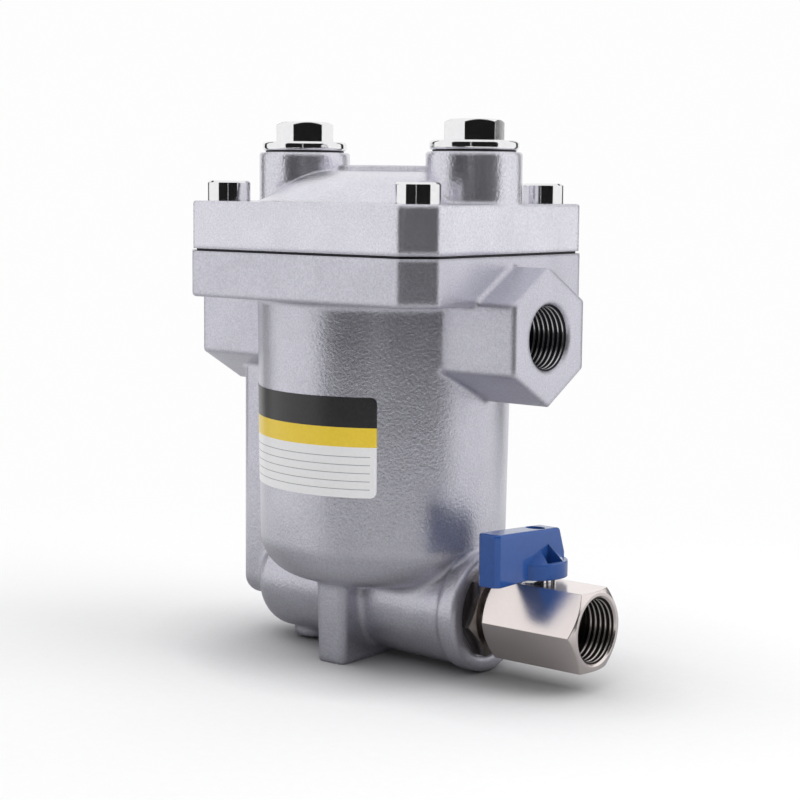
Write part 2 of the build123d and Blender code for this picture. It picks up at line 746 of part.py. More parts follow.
def drain_seat():
    """Screwed-in seat: thread, wrench hexagon, raised rim and stepped orifice."""
    hex_z = floor_z + seat_gasket_depth
    thread = bevelled(rod(seat_thread_radius, floor_z - seat_thread_length, hex_z), seat_gasket_depth, 0)
    head = hexagon_bar(seat_across, hex_z, hex_z + seat_hex_height, 0, cut_end=True)
    foot_radius = seat_rim_radius + seat_rim_height / 2
    rim = lathe([(0, hex_z), (foot_radius, hex_z + seat_hex_height), (seat_rim_radius, rim_z), (0, rim_z)])
    orifice = rod(seat_orifice_radius, 0, rim_z + 1)
    back = rod(seat_back_radius, 0, hex_z + seat_hex_height / 2)
    return Pos(seat_x, 0, 0) * (thread + head + rim - orifice - back)


def seat_gasket():
    """Sealing ring under the drain seat's hexagon."""
    inner = seat_thread_radius + running_gap
    return Pos(seat_x, 0, 0) * ring(inner + seat_gasket_width, inner, floor_z, floor_z + seat_gasket_depth)


def lever_bracket():
    """Sheet bracket: base plate screwed to the floor and two cheeks for the pivot pin."""
    cheek_y = cheek_inner_y + bracket_sheet
    base = Pos(pivot_x + bracket_length / 2, 0, floor_z) * Box(
        bracket_length, 2 * cheek_y, bracket_sheet, align=(Align.CENTER, Align.CENTER, Align.MIN))
    base = fillet(base.edges().filter_by(Axis.Z).group_by(Axis.X)[-1], 3)
    eye = Pos(pivot_x, pivot_z) * Circle(cheek_radius)
    heel = Pos(pivot_x + cheek_foot / 2, floor_z + bracket_sheet / 2) * Rectangle(cheek_foot, bracket_sheet)
    web = make_hull([*eye.edges(), *heel.edges()])
    for side in (-1, 1):
        y = side * cheek_y if side > 0 else -cheek_inner_y
        base += Pos(0, y, 0) * extrude(Plane.XZ * web, bracket_sheet)
    seat_hole = rod(seat_across / math.sqrt(3) + side_gap, floor_z - 1, floor_z + 2 * bracket_sheet)
    base -= Pos(seat_x, 0, 0) * seat_hole
    pin = Rot(90, 0, 0) * rod(pivot_radius + running_gap, -2 * cheek_y, 2 * cheek_y)
    base -= Pos(pivot_x, 0, pivot_z) * pin
    for y in (-bracket_screw_y, bracket_screw_y):
        hole = rod(bracket_screw_radius + side_gap, floor_z - 1, floor_z + 2 * bracket_sheet)
        base -= Pos(bracket_screw_x(), y, 0) * hole
    return base


def bracket_screw(y):
    """Pan-head screw that holds the bracket to the floor."""
    head = rounded(rod(bracket_screw_head_radius, 0, bracket_screw_head), 0.35 * bracket_screw_head)
    shank = rod(bracket_screw_radius, -bracket_screw_length, 0)
    return Pos(bracket_screw_x(), y, floor_z + bracket_sheet) * (head + shank)


def pin_groove_y():
    """Inner side of the clip's groove, just outside the far cheek."""
    return cheek_inner_y + bracket_sheet + contact_gap


def pivot_pin():
    """Headed pin through both cheeks and the lever's hub, grooved for its clip."""
    reach = cheek_inner_y + bracket_sheet
    pin = rod(pivot_radius, -reach, pin_groove_y() + clip_sheet + pin_end)
    pin += rod(pivot_head_radius, -reach - pivot_head, -reach)
    inner = pivot_radius - clip_groove
    pin -= ring(2 * pivot_radius, inner, pin_groove_y(), pin_groove_y() + clip_sheet + contact_gap)
    return Pos(pivot_x, 0, pivot_z) * Rot(-90, 0, 0) * pin


def pin_clip():
    """Spring clip in the pivot pin's groove, open on one side."""
    inner = pivot_radius - clip_groove + contact_gap
    clip = ring(clip_radius, inner, pin_groove_y(), pin_groove_y() + clip_sheet)
    mouth = Box(4 * clip_radius, 1.6 * inner, 4 * clip_radius, align=(Align.MIN, Align.CENTER, Align.CENTER))
    clip -= Pos(0, 0, pin_groove_y()) * mouth
    return Pos(pivot_x, 0, pivot_z) * Rot(-90, 0, 0) * clip


def boss_place(distance):
    """Location on the float's stud axis, its Z pointing away from the float's centre."""
    x = float_x - distance * math.cos(tab_lean)
    z = float_z - distance * math.sin(tab_lean)
    return Location((x, 0, z), (0, -90 - boss_tilt, 0))


def float_lever():
    """Lever: hub on the pin, flat arm over the seat and a tab that carries the float."""
    top = (tab_x - tab_rise * math.sin(tab_lean), tab_z + tab_rise * math.cos(tab_lean))
    path = FilletPolyline((pivot_x, pivot_z), (lever_corner_x, pivot_z), top, radius=lever_bend)
    strip = Plane.XZ * trace(path, lever_sheet)
    arm = extrude(strip, lever_width / 2, both=True)
    hub_half = cheek_inner_y - side_gap
    turned = Pos(pivot_x, 0, pivot_z) * Rot(90, 0, 0)
    arm += turned * rod(hub_radius, -hub_half, hub_half)
    arm -= turned * rod(pivot_radius + running_gap, -2 * hub_half, 2 * hub_half)
    arm -= Pos(seat_x, 0, 0) * rod(plug_neck_radius + running_gap, rim_z, pivot_z + 2 * lever_sheet)
    arm -= boss_place(tab_base) * rod(stud_radius + running_gap, -1, lever_sheet + 1)
    return arm


def plug_disc():
    """Rubber plug with a shoulder and a neck that is pulled through the lever."""
    base_z = rim_z + plug_lift
    under = pivot_z - lever_sheet / 2
    over = pivot_z + lever_sheet / 2 + retainer_depth
    neck = plug_neck_radius
    points = [(0, base_z), (plug_radius, base_z), (plug_radius, base_z + plug_depth), (2 * neck, under)]
    points += [(neck, under), (neck, over), (1.4 * neck, over), (1.2 * neck, over + 1), (0, over + 1)]
    return Pos(seat_x, 0, 0) * lathe(points, {1: plug_edge_round})


def plug_retainer():
    """Washer that holds the plug's neck on top of the lever."""
    base_z = pivot_z + lever_sheet / 2
    washer = ring(retainer_radius, plug_neck_radius + running_gap, base_z, base_z + retainer_depth)
    return Pos(seat_x, 0, 0) * washer


def float_boss():
    """Boss with a stud, saddled on the float."""
    blank = rod(float_boss_radius, -float_radius / 4, 0)
    stud_length = lever_sheet + locknut_depth + stud_end
    stud = bevelled(rod(stud_radius, 0, stud_length), stud_radius / 5)
    placed = boss_place(tab_base) * (blank + stud)
    return placed - Pos(float_x, 0, float_z) * Sphere(float_radius + contact_gap)


def float_locknut():
    """Locknut that clamps the lever's tab on the stud."""
    nut = hexagon_bar(locknut_across, lever_sheet, lever_sheet + locknut_depth, 0, cut_end=True)
    return boss_place(tab_base) * (nut - rod(stud_radius + running_gap, 0, 2 * tab_base))


def float_shell(side):
    """Half of the pressed float; side 1 is the upper half and -1 the lower."""
    shell = Sphere(float_radius) - Sphere(float_radius - float_sheet)
    size = 4 * float_radius
    keep = Pos(0, 0, side * size / 2) * Box(size, size, size)
    return Pos(float_x, 0, float_z) * (shell & keep)


# ---------------------------------------------------------------- assembly

nodes = {
    "body_casting": body_casting(),
    "cover": cover(),
    "cover_gasket": cover_gasket(),
    "valve_body": valve_body(),
    "valve_adaptor": valve_adaptor(),
    "ball_seat_upstream": ball_seat(-1),
    "ball_seat_downstream": ball_seat(1),
    "valve_ball": valve_ball(),
    "valve_stem": valve_stem(),
    "stem_packing": stem_packing(),
    "stem_gland": stem_gland(),
    "stop_pin": stop_pin(),
    "handle": handle(),
    "handle_screw": handle_screw(),
    "drain_seat": drain_seat(),
    "seat_gasket": seat_gasket(),
    "lever_bracket": lever_bracket(),
    "bracket_screw_front": bracket_screw(-bracket_screw_y),
    "bracket_screw_back": bracket_screw(bracket_screw_y),
    "pivot_pin": pivot_pin(),
    "pin_clip": pin_clip(),
    "float_lever": float_lever(),
    "plug_disc": plug_disc(),
    "plug_retainer": plug_retainer(),
    "float_boss": float_boss(),
    "float_locknut": float_locknut(),
    "float_upper_shell": float_shell(1),
    "float_lower_shell": float_shell(-1),
}
for number, (x, y) in enumerate(screw_places, start=1):
    nodes[f"cover_screw_{number}"] = Pos(x, y, cover_top_z - spotface_depth) * cover_screw()
for name, side in (("inlet_side", 1), ("outlet_side", -1)):
    nodes[f"top_plug_{name}"] = Pos(side * boss_x, 0, boss_top_z + seal_depth) * top_plug()
    nodes[f"plug_seal_{name}"] = Pos(side * boss_x, 0, boss_top_z) * plug_seal()

os.makedirs("parts", exist_ok=True)
for name, solid in nodes.items():
    export_step(solid, f"parts/{name}.step")
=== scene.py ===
import json
import math
import bpy
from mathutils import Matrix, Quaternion, Vector


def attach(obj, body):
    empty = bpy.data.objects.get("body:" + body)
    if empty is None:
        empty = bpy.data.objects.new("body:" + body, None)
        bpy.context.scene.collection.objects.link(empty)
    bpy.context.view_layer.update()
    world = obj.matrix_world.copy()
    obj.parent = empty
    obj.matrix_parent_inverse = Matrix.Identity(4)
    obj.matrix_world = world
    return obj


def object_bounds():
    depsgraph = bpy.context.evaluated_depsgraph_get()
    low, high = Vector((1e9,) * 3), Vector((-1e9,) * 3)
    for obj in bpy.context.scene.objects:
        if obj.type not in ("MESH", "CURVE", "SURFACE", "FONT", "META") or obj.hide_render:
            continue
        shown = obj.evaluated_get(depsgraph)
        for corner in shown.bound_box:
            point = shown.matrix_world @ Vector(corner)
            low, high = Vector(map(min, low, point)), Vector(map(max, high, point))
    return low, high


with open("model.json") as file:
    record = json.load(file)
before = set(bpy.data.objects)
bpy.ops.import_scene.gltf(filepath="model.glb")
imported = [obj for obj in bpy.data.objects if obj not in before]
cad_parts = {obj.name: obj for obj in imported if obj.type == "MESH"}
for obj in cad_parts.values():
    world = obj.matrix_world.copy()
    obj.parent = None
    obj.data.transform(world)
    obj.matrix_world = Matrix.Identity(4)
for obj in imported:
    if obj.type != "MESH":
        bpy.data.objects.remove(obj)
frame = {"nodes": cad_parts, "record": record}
nodes = frame["nodes"]
cad_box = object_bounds()
MM = 0.001


# ---------------------------------------------------------------- body casting
# Bowl, flange, two hexagon ports, discharge channel, manifold tube and foot in one piece.
# Sand-cast aluminium, shot-blasted to a fine sparkling grain; the float sits inside it.

class Value:
    """A socket whose arithmetic adds Math nodes to the tree that holds it."""

    def __init__(self, tree, socket):
        self.tree = tree
        self.socket = socket

    def __add__(self, other):
        return self.tree.maths("ADD", self, other)

    def __sub__(self, other):
        return self.tree.maths("SUBTRACT", self, other)

    def __rsub__(self, other):
        return self.tree.maths("SUBTRACT", other, self)

    def __mul__(self, other):
        return self.tree.maths("MULTIPLY", self, other)

    def __truediv__(self, other):
        return self.tree.maths("DIVIDE", self, other)

    def __gt__(self, other):
        return self.tree.maths("GREATER_THAN", self, other)

    def __lt__(self, other):
        return self.tree.maths("LESS_THAN", self, other)

    __radd__ = __add__
    __rmul__ = __mul__

    def clipped(self):
        """This value kept between 0 and 1."""
        return self.tree.maths("MAXIMUM", self.tree.maths("MINIMUM", self, 1.0), 0.0)


class Tree:
    """A shader or geometry node tree under construction."""

    def __init__(self, tree):
        self.tree = tree

    def add(self, kind, settings=None, inputs=None, output=0):
        """One output of a new node: its settings go in first, then the value or link of each socket."""
        node = self.tree.nodes.new(kind)
        for name, setting in (settings or {}).items():
            setattr(node, name, setting)
        for name, given in (inputs or {}).items():
            if isinstance(given, Value):
                self.tree.links.new(given.socket, node.inputs[name])
            else:
                node.inputs[name].default_value = given
        return Value(self, node.outputs[output])

    def maths(self, operation, *terms):
        """Result of a Math node."""
        return self.add("ShaderNodeMath", {"operation": operation}, dict(enumerate(terms)))


# places of the Mix node's colour sockets, whose names it shares with its number sockets
MIX_FACTOR, MIX_FIRST_COLOUR, MIX_SECOND_COLOUR, MIX_COLOUR_RESULT = 0, 6, 7, 2


class Finish(Tree):
    """A surface finish: one Principled shader with what feeds it."""

    def __init__(self, name, **constants):
        self.material = bpy.data.materials.new(name)
        self.material.use_nodes = True
        super().__init__(self.material.node_tree)
        self.shader = self.tree.nodes["Principled BSDF"]
        for socket, constant in constants.items():
            self.shader.inputs[socket.replace("_", " ")].default_value = constant
        self.place = self.add("ShaderNodeTexCoord", output="Object")

    def noise(self, scale, detail=2.0, roughness=0.5, stretch=(1, 1, 1)):
        """Noise between 0 and 1 with about this many features in a metre."""
        place = self.add("ShaderNodeMapping", {}, {"Vector": self.place, "Scale": stretch})
        return self.add("ShaderNodeTexNoise", {}, {
            "Vector": place, "Scale": scale, "Detail": detail, "Roughness": roughness})

    def between(self, factor, first, second):
        """Colour from first to second as factor goes from 0 to 1."""
        sockets = {MIX_FACTOR: factor}
        for socket, colour in ((MIX_FIRST_COLOUR, first), (MIX_SECOND_COLOUR, second)):
            sockets[socket] = colour if isinstance(colour, Value) else (*colour, 1.0)
        return self.add("ShaderNodeMix", {"data_type": "RGBA"}, sockets, output=MIX_COLOUR_RESULT)

    def bump(self, height, depth, edge):
        """Normal of a surface that rises by depth as height goes from 0 to 1, its edges eased."""
        eased = self.add("ShaderNodeBevel", {"samples": 6}, {"Radius": edge})
        return self.add("ShaderNodeBump", {}, {"Height": height, "Distance": depth, "Normal": eased})

    def feed(self, **links):
        """Links what varies over the surface to the shader's sockets."""
        for socket, value in links.items():
            self.tree.links.new(value.socket, self.shader.inputs[socket.replace("_", " ")])
        return self.material


GRAIN_DEPTH = 0.13 * MM
CAST_EDGE_RADIUS = 2.6 * MM


def cast_aluminium(name, dark, light, roughness):
    """Blasted casting: pebbled skin, fine grain, sparse bright flecks and faint mottling."""
    finish = Finish(name, Metallic=0.84)
    pebbles = finish.noise(1050, detail=2)
    grain = finish.noise(1700, detail=3, roughness=0.65)
    mottle = finish.noise(70, detail=4)
    fleck_threshold = 0.62
    fleck_contrast = 3.0
    flecks = (finish.noise(2600, detail=1) - fleck_threshold).clipped() * fleck_contrast
    tone = ((grain - 0.5) * 2.2 + (mottle - 0.5) * 0.8 + 0.5 + flecks).clipped()
    colour = finish.between(tone, dark, light)
    unevenness = 0.08
    gloss = (grain - 0.5) * unevenness + (mottle - 0.5) * unevenness + roughness
    relief = finish.bump(pebbles * 0.7 + grain * 0.3, GRAIN_DEPTH, CAST_EDGE_RADIUS)
    return finish.feed(Base_Color=colour, Roughness=gloss.clipped(), Normal=relief)


def dress(finish, *names):
    """Gives CAD nodes their finish."""
    for name in names:
        nodes[name].material_slots[0].material = finish


body_finish = cast_aluminium("blasted_body_casting", (0.48, 0.475, 0.535), (0.68, 0.675, 0.75), 0.31)
dress(body_finish, "body_casting")


# ---------------------------------------------------------------- port and outlet threads
# Half-inch parallel pipe threads cut in both side ports and in the ball valve's outlet.
# Each is a bright helical ridge that stands on the wall of its bore, in the bore's own metal.

THREAD_STAND_OFF = 0.03 * MM      # its root clear of the bore's wall
THREAD_BACK_DEPTH = 0.02 * MM     # its hidden back behind the root
FLANK_STEEPNESS = 1.35
CREST_FLAT = 0.17                 # share of half a pitch, before the flank's slope
LEAD_IN_SLOPE = 1.2


def thread_tree():
    """Geometry nodes that make one female thread about Z, its mouth at z = 0 and its end below."""
    group = bpy.data.node_groups.new("female_thread", "GeometryNodeTree")
    sockets = [
        ("Major Radius", "Float"), ("Minor Radius", "Float"), ("Pitch", "Float"), ("Length", "Float"),
        ("Steps Round", "Int"), ("Rows", "Int"), ("Finish", "Material")]
    for name, kind in sockets:
        group.interface.new_socket(name, in_out="INPUT", socket_type="NodeSocket" + kind)
    group.interface.new_socket("Geometry", in_out="OUTPUT", socket_type="NodeSocketGeometry")
    tree = Tree(group)
    entry = group.nodes.new("NodeGroupInput")
    given = {name: Value(tree, entry.outputs[name]) for name, kind in sockets}
    major, minor, pitch = given["Major Radius"], given["Minor Radius"], given["Pitch"]
    length, rows = given["Length"], given["Rows"]
    sheet = tree.add("GeometryNodeMeshGrid", {}, {
        "Size X": 1.0, "Size Y": 1.0, "Vertices X": given["Steps Round"] + 1, "Vertices Y": rows + 4})
    place = tree.add("GeometryNodeInputPosition")
    turn = tree.add("ShaderNodeSeparateXYZ", {}, {0: place}, output="X") + 0.5
    row = (tree.add("ShaderNodeSeparateXYZ", {}, {0: place}, output="Y") + 0.5) * (rows + 3)
    behind = (row < 0.5) + (row > rows + 1.5)
    depth = ((row - 1) / rows).clipped() * length * (row < rows + 2.5)
    phase = tree.maths("FRACT", depth / pitch - turn)
    flank = (tree.maths("ABSOLUTE", phase * 2 - 1) * FLANK_STEEPNESS - CREST_FLAT).clipped()
    run_out = ((length - depth) / pitch).clipped()
    full_height = major - minor
    height = tree.maths("MINIMUM", depth * LEAD_IN_SLOPE, (1 - flank) * full_height * run_out)
    radius = major - THREAD_STAND_OFF - height * (1 - behind) + THREAD_BACK_DEPTH * behind
    angle = turn * math.tau
    point = tree.add("ShaderNodeCombineXYZ", {}, {
        "X": radius * tree.maths("COSINE", angle), "Y": radius * tree.maths("SINE", angle), "Z": 0 - depth})
    marked = tree.add("GeometryNodeStoreNamedAttribute", {"data_type": "FLOAT", "domain": "POINT"}, {
        "Geometry": sheet, "Name": "crest", "Value": height / full_height})
    wrapped = tree.add("GeometryNodeSetPosition", {}, {"Geometry": marked, "Position": point})
    closed = tree.add("GeometryNodeMergeByDistance", {}, {"Geometry": wrapped, "Distance": 0.001 * MM})
    smooth = tree.add("GeometryNodeSetShadeSmooth", {}, {"Geometry": closed})
    real = tree.add("GeometryNodeRealizeInstances", {}, {"Geometry": smooth})
    painted = tree.add("GeometryNodeSetMaterial", {}, {"Geometry": real, "Material": given["Finish"]})
    end = group.nodes.new("NodeGroupOutput")
    group.links.new(painted.socket, end.inputs["Geometry"])
    return group


def grown(name, group, values):
    """Mesh that a geometry node tree makes from its named inputs."""
    seed = bpy.data.objects.new(name + "_seed", bpy.data.meshes.new(name + "_seed"))
    bpy.context.scene.collection.objects.link(seed)
    modifier = seed.modifiers.new("shape", "NODES")
    modifier.node_group = group
    for item in group.interface.items_tree:
        if item.in_out == "INPUT" and item.name in values:
            modifier[item.identifier] = values[item.name]
    depsgraph = bpy.context.evaluated_depsgraph_get()
    mesh = bpy.data.meshes.new_from_object(seed.evaluated_get(depsgraph), depsgraph=depsgraph)
    seed.modifiers.remove(modifier)
    bpy.data.objects.remove(seed)
    mesh.name = name
    return mesh


def placed(name, mesh, body):
    """Piece of the object that rides on a body, its place in its mesh."""
    piece = bpy.data.objects.new(name, mesh)
    bpy.context.scene.collection.objects.link(piece)
    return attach(piece, body)


def cut_metal(name, groove_shade, crest_dark, crest_light):
    """Thread with polished crests and grooves painted dark as shade."""
    finish = Finish(name, Metallic=1.0)
    marks = finish.noise(2400, detail=2)
    crest = finish.add("ShaderNodeAttribute", {"attribute_name": "crest"}, output="Fac")
    groove_shade_level = 0.62
    edge_contrast = 4.0
    # Painted shade: the grooves take the near-black groove colour, and the crests take their metal's own
    # tones.
    unshaded_crest = ((crest - groove_shade_level) * edge_contrast).clipped()
    tone = finish.between(unshaded_crest, groove_shade, finish.between(marks, crest_dark, crest_light))
    return finish.feed(Base_Color=tone, Roughness=marks * 0.12 + (1 - unshaded_crest) * 0.25 + 0.16)


PIPE_PITCH = 1.814 * MM
PIPE_MINOR_RADIUS = 9.7 * MM
# The first colour of each thread finish is the painted shade of its grooves.
port_thread_finish = cut_metal(
    "cut_aluminium", (0.035, 0.035, 0.04), (0.78, 0.78, 0.80), (0.92, 0.92, 0.93))
valve_thread_finish = cut_metal(
    "cut_nickelled_brass", (0.03, 0.026, 0.024), (0.82, 0.78, 0.75), (0.95, 0.90, 0.87))
female_thread = thread_tree()
for mount in frame["record"]["mounts"]:
    if mount["kind"] != "threaded_hole":
        continue
    on_valve = mount["name"] == "drain_outlet"
    name = mount["name"] + "_thread"
    length = mount["dims"]["length_mm"] * MM
    axis = Vector(mount["axis"])
    mesh = grown(name, female_thread, {
        "Major Radius": mount["dims"]["r_mm"] * MM, "Minor Radius": PIPE_MINOR_RADIUS, "Pitch": PIPE_PITCH,
        "Length": length, "Steps Round": 96, "Rows": 110,
        "Finish": valve_thread_finish if on_valve else port_thread_finish})
    from_mouth = axis.to_track_quat("Z", "Y").to_matrix().to_4x4()
    from_mouth.translation = Vector(mount["pos_m"]) + axis * length / 2
    mesh.transform(from_mouth)
    thread = placed(name, mesh, "housing")


# ---------------------------------------------------------------- float mechanism
# Ball float on a bent lever that lifts a soft plug off the seat in the bowl's floor.
# Stainless sheet and bar, a plated brass seat and moulded rubber; its bracket is screwed down.

steel = Finish("stainless_steel", Metallic=1.0)
brushing = steel.noise(900, detail=3, stretch=(1, 1, 6))
steel_finish = steel.feed(
    Base_Color=steel.between(brushing, (0.54, 0.54, 0.55), (0.70, 0.70, 0.71)),
    Roughness=brushing * 0.2 + 0.16,
    Normal=steel.bump(brushing, 0.008 * MM, 0.2 * MM))
dress(steel_finish, "lever_bracket", "bracket_screw_front", "bracket_screw_back", "pivot_pin", "pin_clip",
      "float_lever", "plug_retainer", "float_boss", "float_locknut",
      "float_upper_shell", "float_lower_shell")

rubber = Finish("black_rubber")
rubber_tone = rubber.noise(1200, detail=2)
rubber_finish = rubber.feed(
    Base_Color=rubber.between(rubber_tone, (0.008, 0.008, 0.009), (0.02, 0.02, 0.021)),
    Roughness=rubber_tone * 0.2 + 0.5,
    Normal=rubber.bump(rubber_tone, 0.02 * MM, 0.2 * MM))
dress(rubber_finish, "plug_disc", "seat_gasket")

nickel = Finish("satin_nickel", Metallic=1.0)
satin = nickel.noise(1400, detail=3, roughness=0.6)
stain = nickel.noise(120, detail=3)
nickel_tone = (satin * 0.7 + stain * 0.5 - 0.1).clipped()
nickel_finish = nickel.feed(
    Base_Color=nickel.between(nickel_tone, (0.78, 0.71, 0.69), (0.93, 0.85, 0.83)),
    Roughness=satin * 0.10 + stain * 0.05 + 0.15,
    Normal=nickel.bump(satin, 0.012 * MM, 0.35 * MM))
dress(nickel_finish, "drain_seat")


# ---------------------------------------------------------------- cover, gasket and top seals
# Domed aluminium cover with two tapped bosses, cast and blasted as the bowl is.
# A black rubber sheet seals it to the bowl, and a black ring seals each boss.

cover_finish = cast_aluminium("blasted_cover_casting", (0.60, 0.595, 0.655), (0.80, 0.79, 0.865), 0.23)
dress(cover_finish, "cover")
dress(rubber_finish, "cover_gasket", "plug_seal_inlet_side", "plug_seal_outlet_side")


# ---------------------------------------------------------------- cover screws and top plugs
# Four socket-head screws clamp the cover, and two flanged hexagon plugs close the spare ports.
# Turned and forged steel, polished and chrome-plated.

chrome = Finish("bright_chrome", Metallic=1.0)
haze = chrome.noise(500, detail=3)
chrome_finish = chrome.feed(
    Base_Color=chrome.between(haze, (0.80, 0.80, 0.81), (0.90, 0.90, 0.91)),
    Roughness=haze * 0.05 + 0.05,
    Normal=chrome.bump(haze, 0.002 * MM, 0.35 * MM))
dress(chrome_finish, "cover_screw_1", "cover_screw_2", "cover_screw_3", "cover_screw_4",
      "top_plug_inlet_side", "top_plug_outlet_side")


# ---------------------------------------------------------------- ball valve
# Hexagon bar body screwed on a hexagon adaptor, with a gland, stem, ball and stop pin.
# Machined brass, satin nickel-plated with a warm cast; the ball's seats are white PTFE.

dress(nickel_finish, "valve_body", "valve_ball")
dress(chrome_finish, "stem_gland", "stop_pin")
dress(steel_finish, "valve_stem")

# Painted shade: the adaptor, in the collar's recess, gets a darker copy of the valve's satin nickel.
shaded_nickel = Finish("nickel_painted_shade", Metallic=1.0)
nickel_shade_mottle = shaded_nickel.noise(500, detail=3)
shaded_nickel_finish = shaded_nickel.feed(
    Base_Color=shaded_nickel.between(nickel_shade_mottle, (0.24, 0.215, 0.20), (0.40, 0.365, 0.34)),
    Roughness=nickel_shade_mottle * 0.1 + 0.2,
    Normal=shaded_nickel.bump(nickel_shade_mottle, 0.01 * MM, 0.4 * MM))
dress(shaded_nickel_finish, "valve_adaptor")

ptfe = Finish("white_ptfe", Roughness=0.4)
ptfe_finish = ptfe.feed(Base_Color=ptfe.between(ptfe.noise(700), (0.78, 0.78, 0.76), (0.88, 0.88, 0.86)))
dress(ptfe_finish, "ball_seat_upstream", "ball_seat_downstream", "stem_packing")


# ---------------------------------------------------------------- lever handle
# Die-cast lever with a braced fin, held on the stem's flats by a screw in its top pocket.
# Powder-coated in a glossy mid blue.

blue = Finish("blue_powder_coat", Specular_IOR_Level=0.1,
              Coat_Weight=0.8, Coat_Roughness=0.08, Coat_IOR=1.45)
ripple = blue.noise(420, detail=2)
speck = blue.noise(2200, detail=2)
blue_finish = blue.feed(
    Base_Color=blue.between(ripple * 0.6 + speck * 0.4, (0.012, 0.060, 0.245), (0.024, 0.088, 0.32)),
    Roughness=ripple * 0.12 + 0.26,
    Normal=blue.bump(ripple * 0.8 + speck * 0.2, 0.015 * MM, 0.9 * MM))
dress(blue_finish, "handle")
dress(steel_finish, "handle_screw")


# ---------------------------------------------------------------- rating plate
# Blank self-adhesive film on the bowl, in plain black, yellow and white bands.
# It wraps the drafted bowl and has rounded corners; nothing is printed on it but ruled lines.

BOWL_TOP_Z = 135.3 * MM
BOWL_TOP_RADIUS = 42.7 * MM
BOWL_DRAFT = math.radians(0.8)
FILM_BASE_Z = 59.0 * MM
FILM_HEIGHT = 32.0 * MM
FILM_LEFT = math.radians(-57.0)       # angles about the bowl's axis, from its front
FILM_RIGHT = math.radians(36.1)
FILM_CORNER = 2.0 * MM
FILM_STAND_OFF = 0.03 * MM
FILM_THICKNESS = 0.12 * MM


def band_film():
    """Curved sheet that hugs the bowl, with its own map in metres from its lower left corner."""
    columns, rows, corner_rows = 72, 24, 6
    half_width = (FILM_RIGHT - FILM_LEFT) / 2 * BOWL_TOP_RADIUS
    middle = (FILM_LEFT + FILM_RIGHT) / 2
    corner_steps = [1 - math.cos(math.pi / 2 * step / corner_rows) for step in range(corner_rows)]
    heights = [FILM_CORNER * step for step in corner_steps]
    straight = FILM_HEIGHT - 2 * FILM_CORNER
    heights += [FILM_CORNER + straight * step / rows for step in range(rows + 1)]
    heights += [FILM_HEIGHT - FILM_CORNER * step for step in reversed(corner_steps)]
    points, faces, map_points = [], [], []
    for height in heights:
        over = max(FILM_CORNER - height, height - (FILM_HEIGHT - FILM_CORNER), 0.0)
        inset = FILM_CORNER - math.sqrt(max(FILM_CORNER ** 2 - over ** 2, 0.0))
        z = FILM_BASE_Z + height
        radius = BOWL_TOP_RADIUS - (BOWL_TOP_Z - z) * math.tan(BOWL_DRAFT) + FILM_STAND_OFF
        for column in range(columns + 1):
            reach = (half_width - inset) * (2 * column / columns - 1)
            angle = middle + reach / BOWL_TOP_RADIUS
            points.append((radius * math.sin(angle), -radius * math.cos(angle), z))
            map_points.append((reach + half_width, height))
    for row in range(len(heights) - 1):
        for column in range(columns):
            start = row * (columns + 1) + column
            faces.append((start, start + 1, start + columns + 2, start + columns + 1))
    mesh = bpy.data.meshes.new("band_film")
    mesh.from_pydata(points, [], faces)
    film_map = mesh.uv_layers.new(name="film_map")
    for loop in mesh.loops:
        film_map.data[loop.index].uv = map_points[loop.vertex_index]
    mesh.shade_smooth()
    return mesh


def film_finish():
    """Satin printed film: black, yellow and white bands with grey ruled lines on the white."""
    finish = Finish("banded_film", Roughness=0.32)
    place = finish.add("ShaderNodeUVMap", {"uv_map": "film_map"})
    across = finish.add("ShaderNodeSeparateXYZ", {}, {0: place}, output="X")
    up = finish.add("ShaderNodeSeparateXYZ", {}, {0: place}, output="Y")
    white_top = 16.2 * MM
    yellow_top = 22.4 * MM
    wear = finish.noise(900, detail=3)
    white = finish.between(wear, (0.80, 0.80, 0.81), (0.88, 0.88, 0.89))
    yellow = finish.between(wear, (0.80, 0.56, 0.03), (0.90, 0.66, 0.05))
    black = finish.between(wear, (0.012, 0.012, 0.013), (0.03, 0.03, 0.032))
    line_spacing = 2.6 * MM
    line_share = 0.09
    line_start = 2.2 * MM
    line_end = 67.2 * MM
    ruled = finish.maths("FRACT", up / line_spacing) < line_share
    ruled = ruled * (up > line_spacing / 2) * (up < white_top - line_spacing / 2)
    ruled = ruled * (across > line_start) * (across < line_end)
    white = finish.between(ruled, white, (0.30, 0.30, 0.31))
    colour = finish.between(up > white_top, white, yellow)
    colour = finish.between(up > yellow_top, colour, black)
    return finish.feed(Base_Color=colour, Roughness=wear * 0.12 + 0.26)


film = placed("band_film", band_film(), "housing")
film.data.materials.append(film_finish())
thicken = film.modifiers.new("film", "SOLIDIFY")
thicken.thickness = FILM_THICKNESS
thicken.offset = 1.0


# ---------------------------------------------------------------- studio
# Pale floor under soft light from above and both sides, with a white surround; its colour holds a painted
# contact shadow near the object and turns a painted dark grey in reflections.
# Black boards round the object give its metal dark bands; they show in reflections only.

VIEW_YAW = math.radians(38.61)
BOARD_RADIUS = 0.42
BOARD_BASE_Z = -0.2
BOARD_TOP_Z = 0.5


def stage_mesh(name, points, faces, finish):
    """A piece of the studio, which isn't part of the object."""
    mesh = bpy.data.meshes.new(name)
    mesh.from_pydata(points, [], faces)
    mesh.materials.append(finish)
    piece = bpy.data.objects.new(name, mesh)
    bpy.context.scene.collection.objects.link(piece)
    return piece


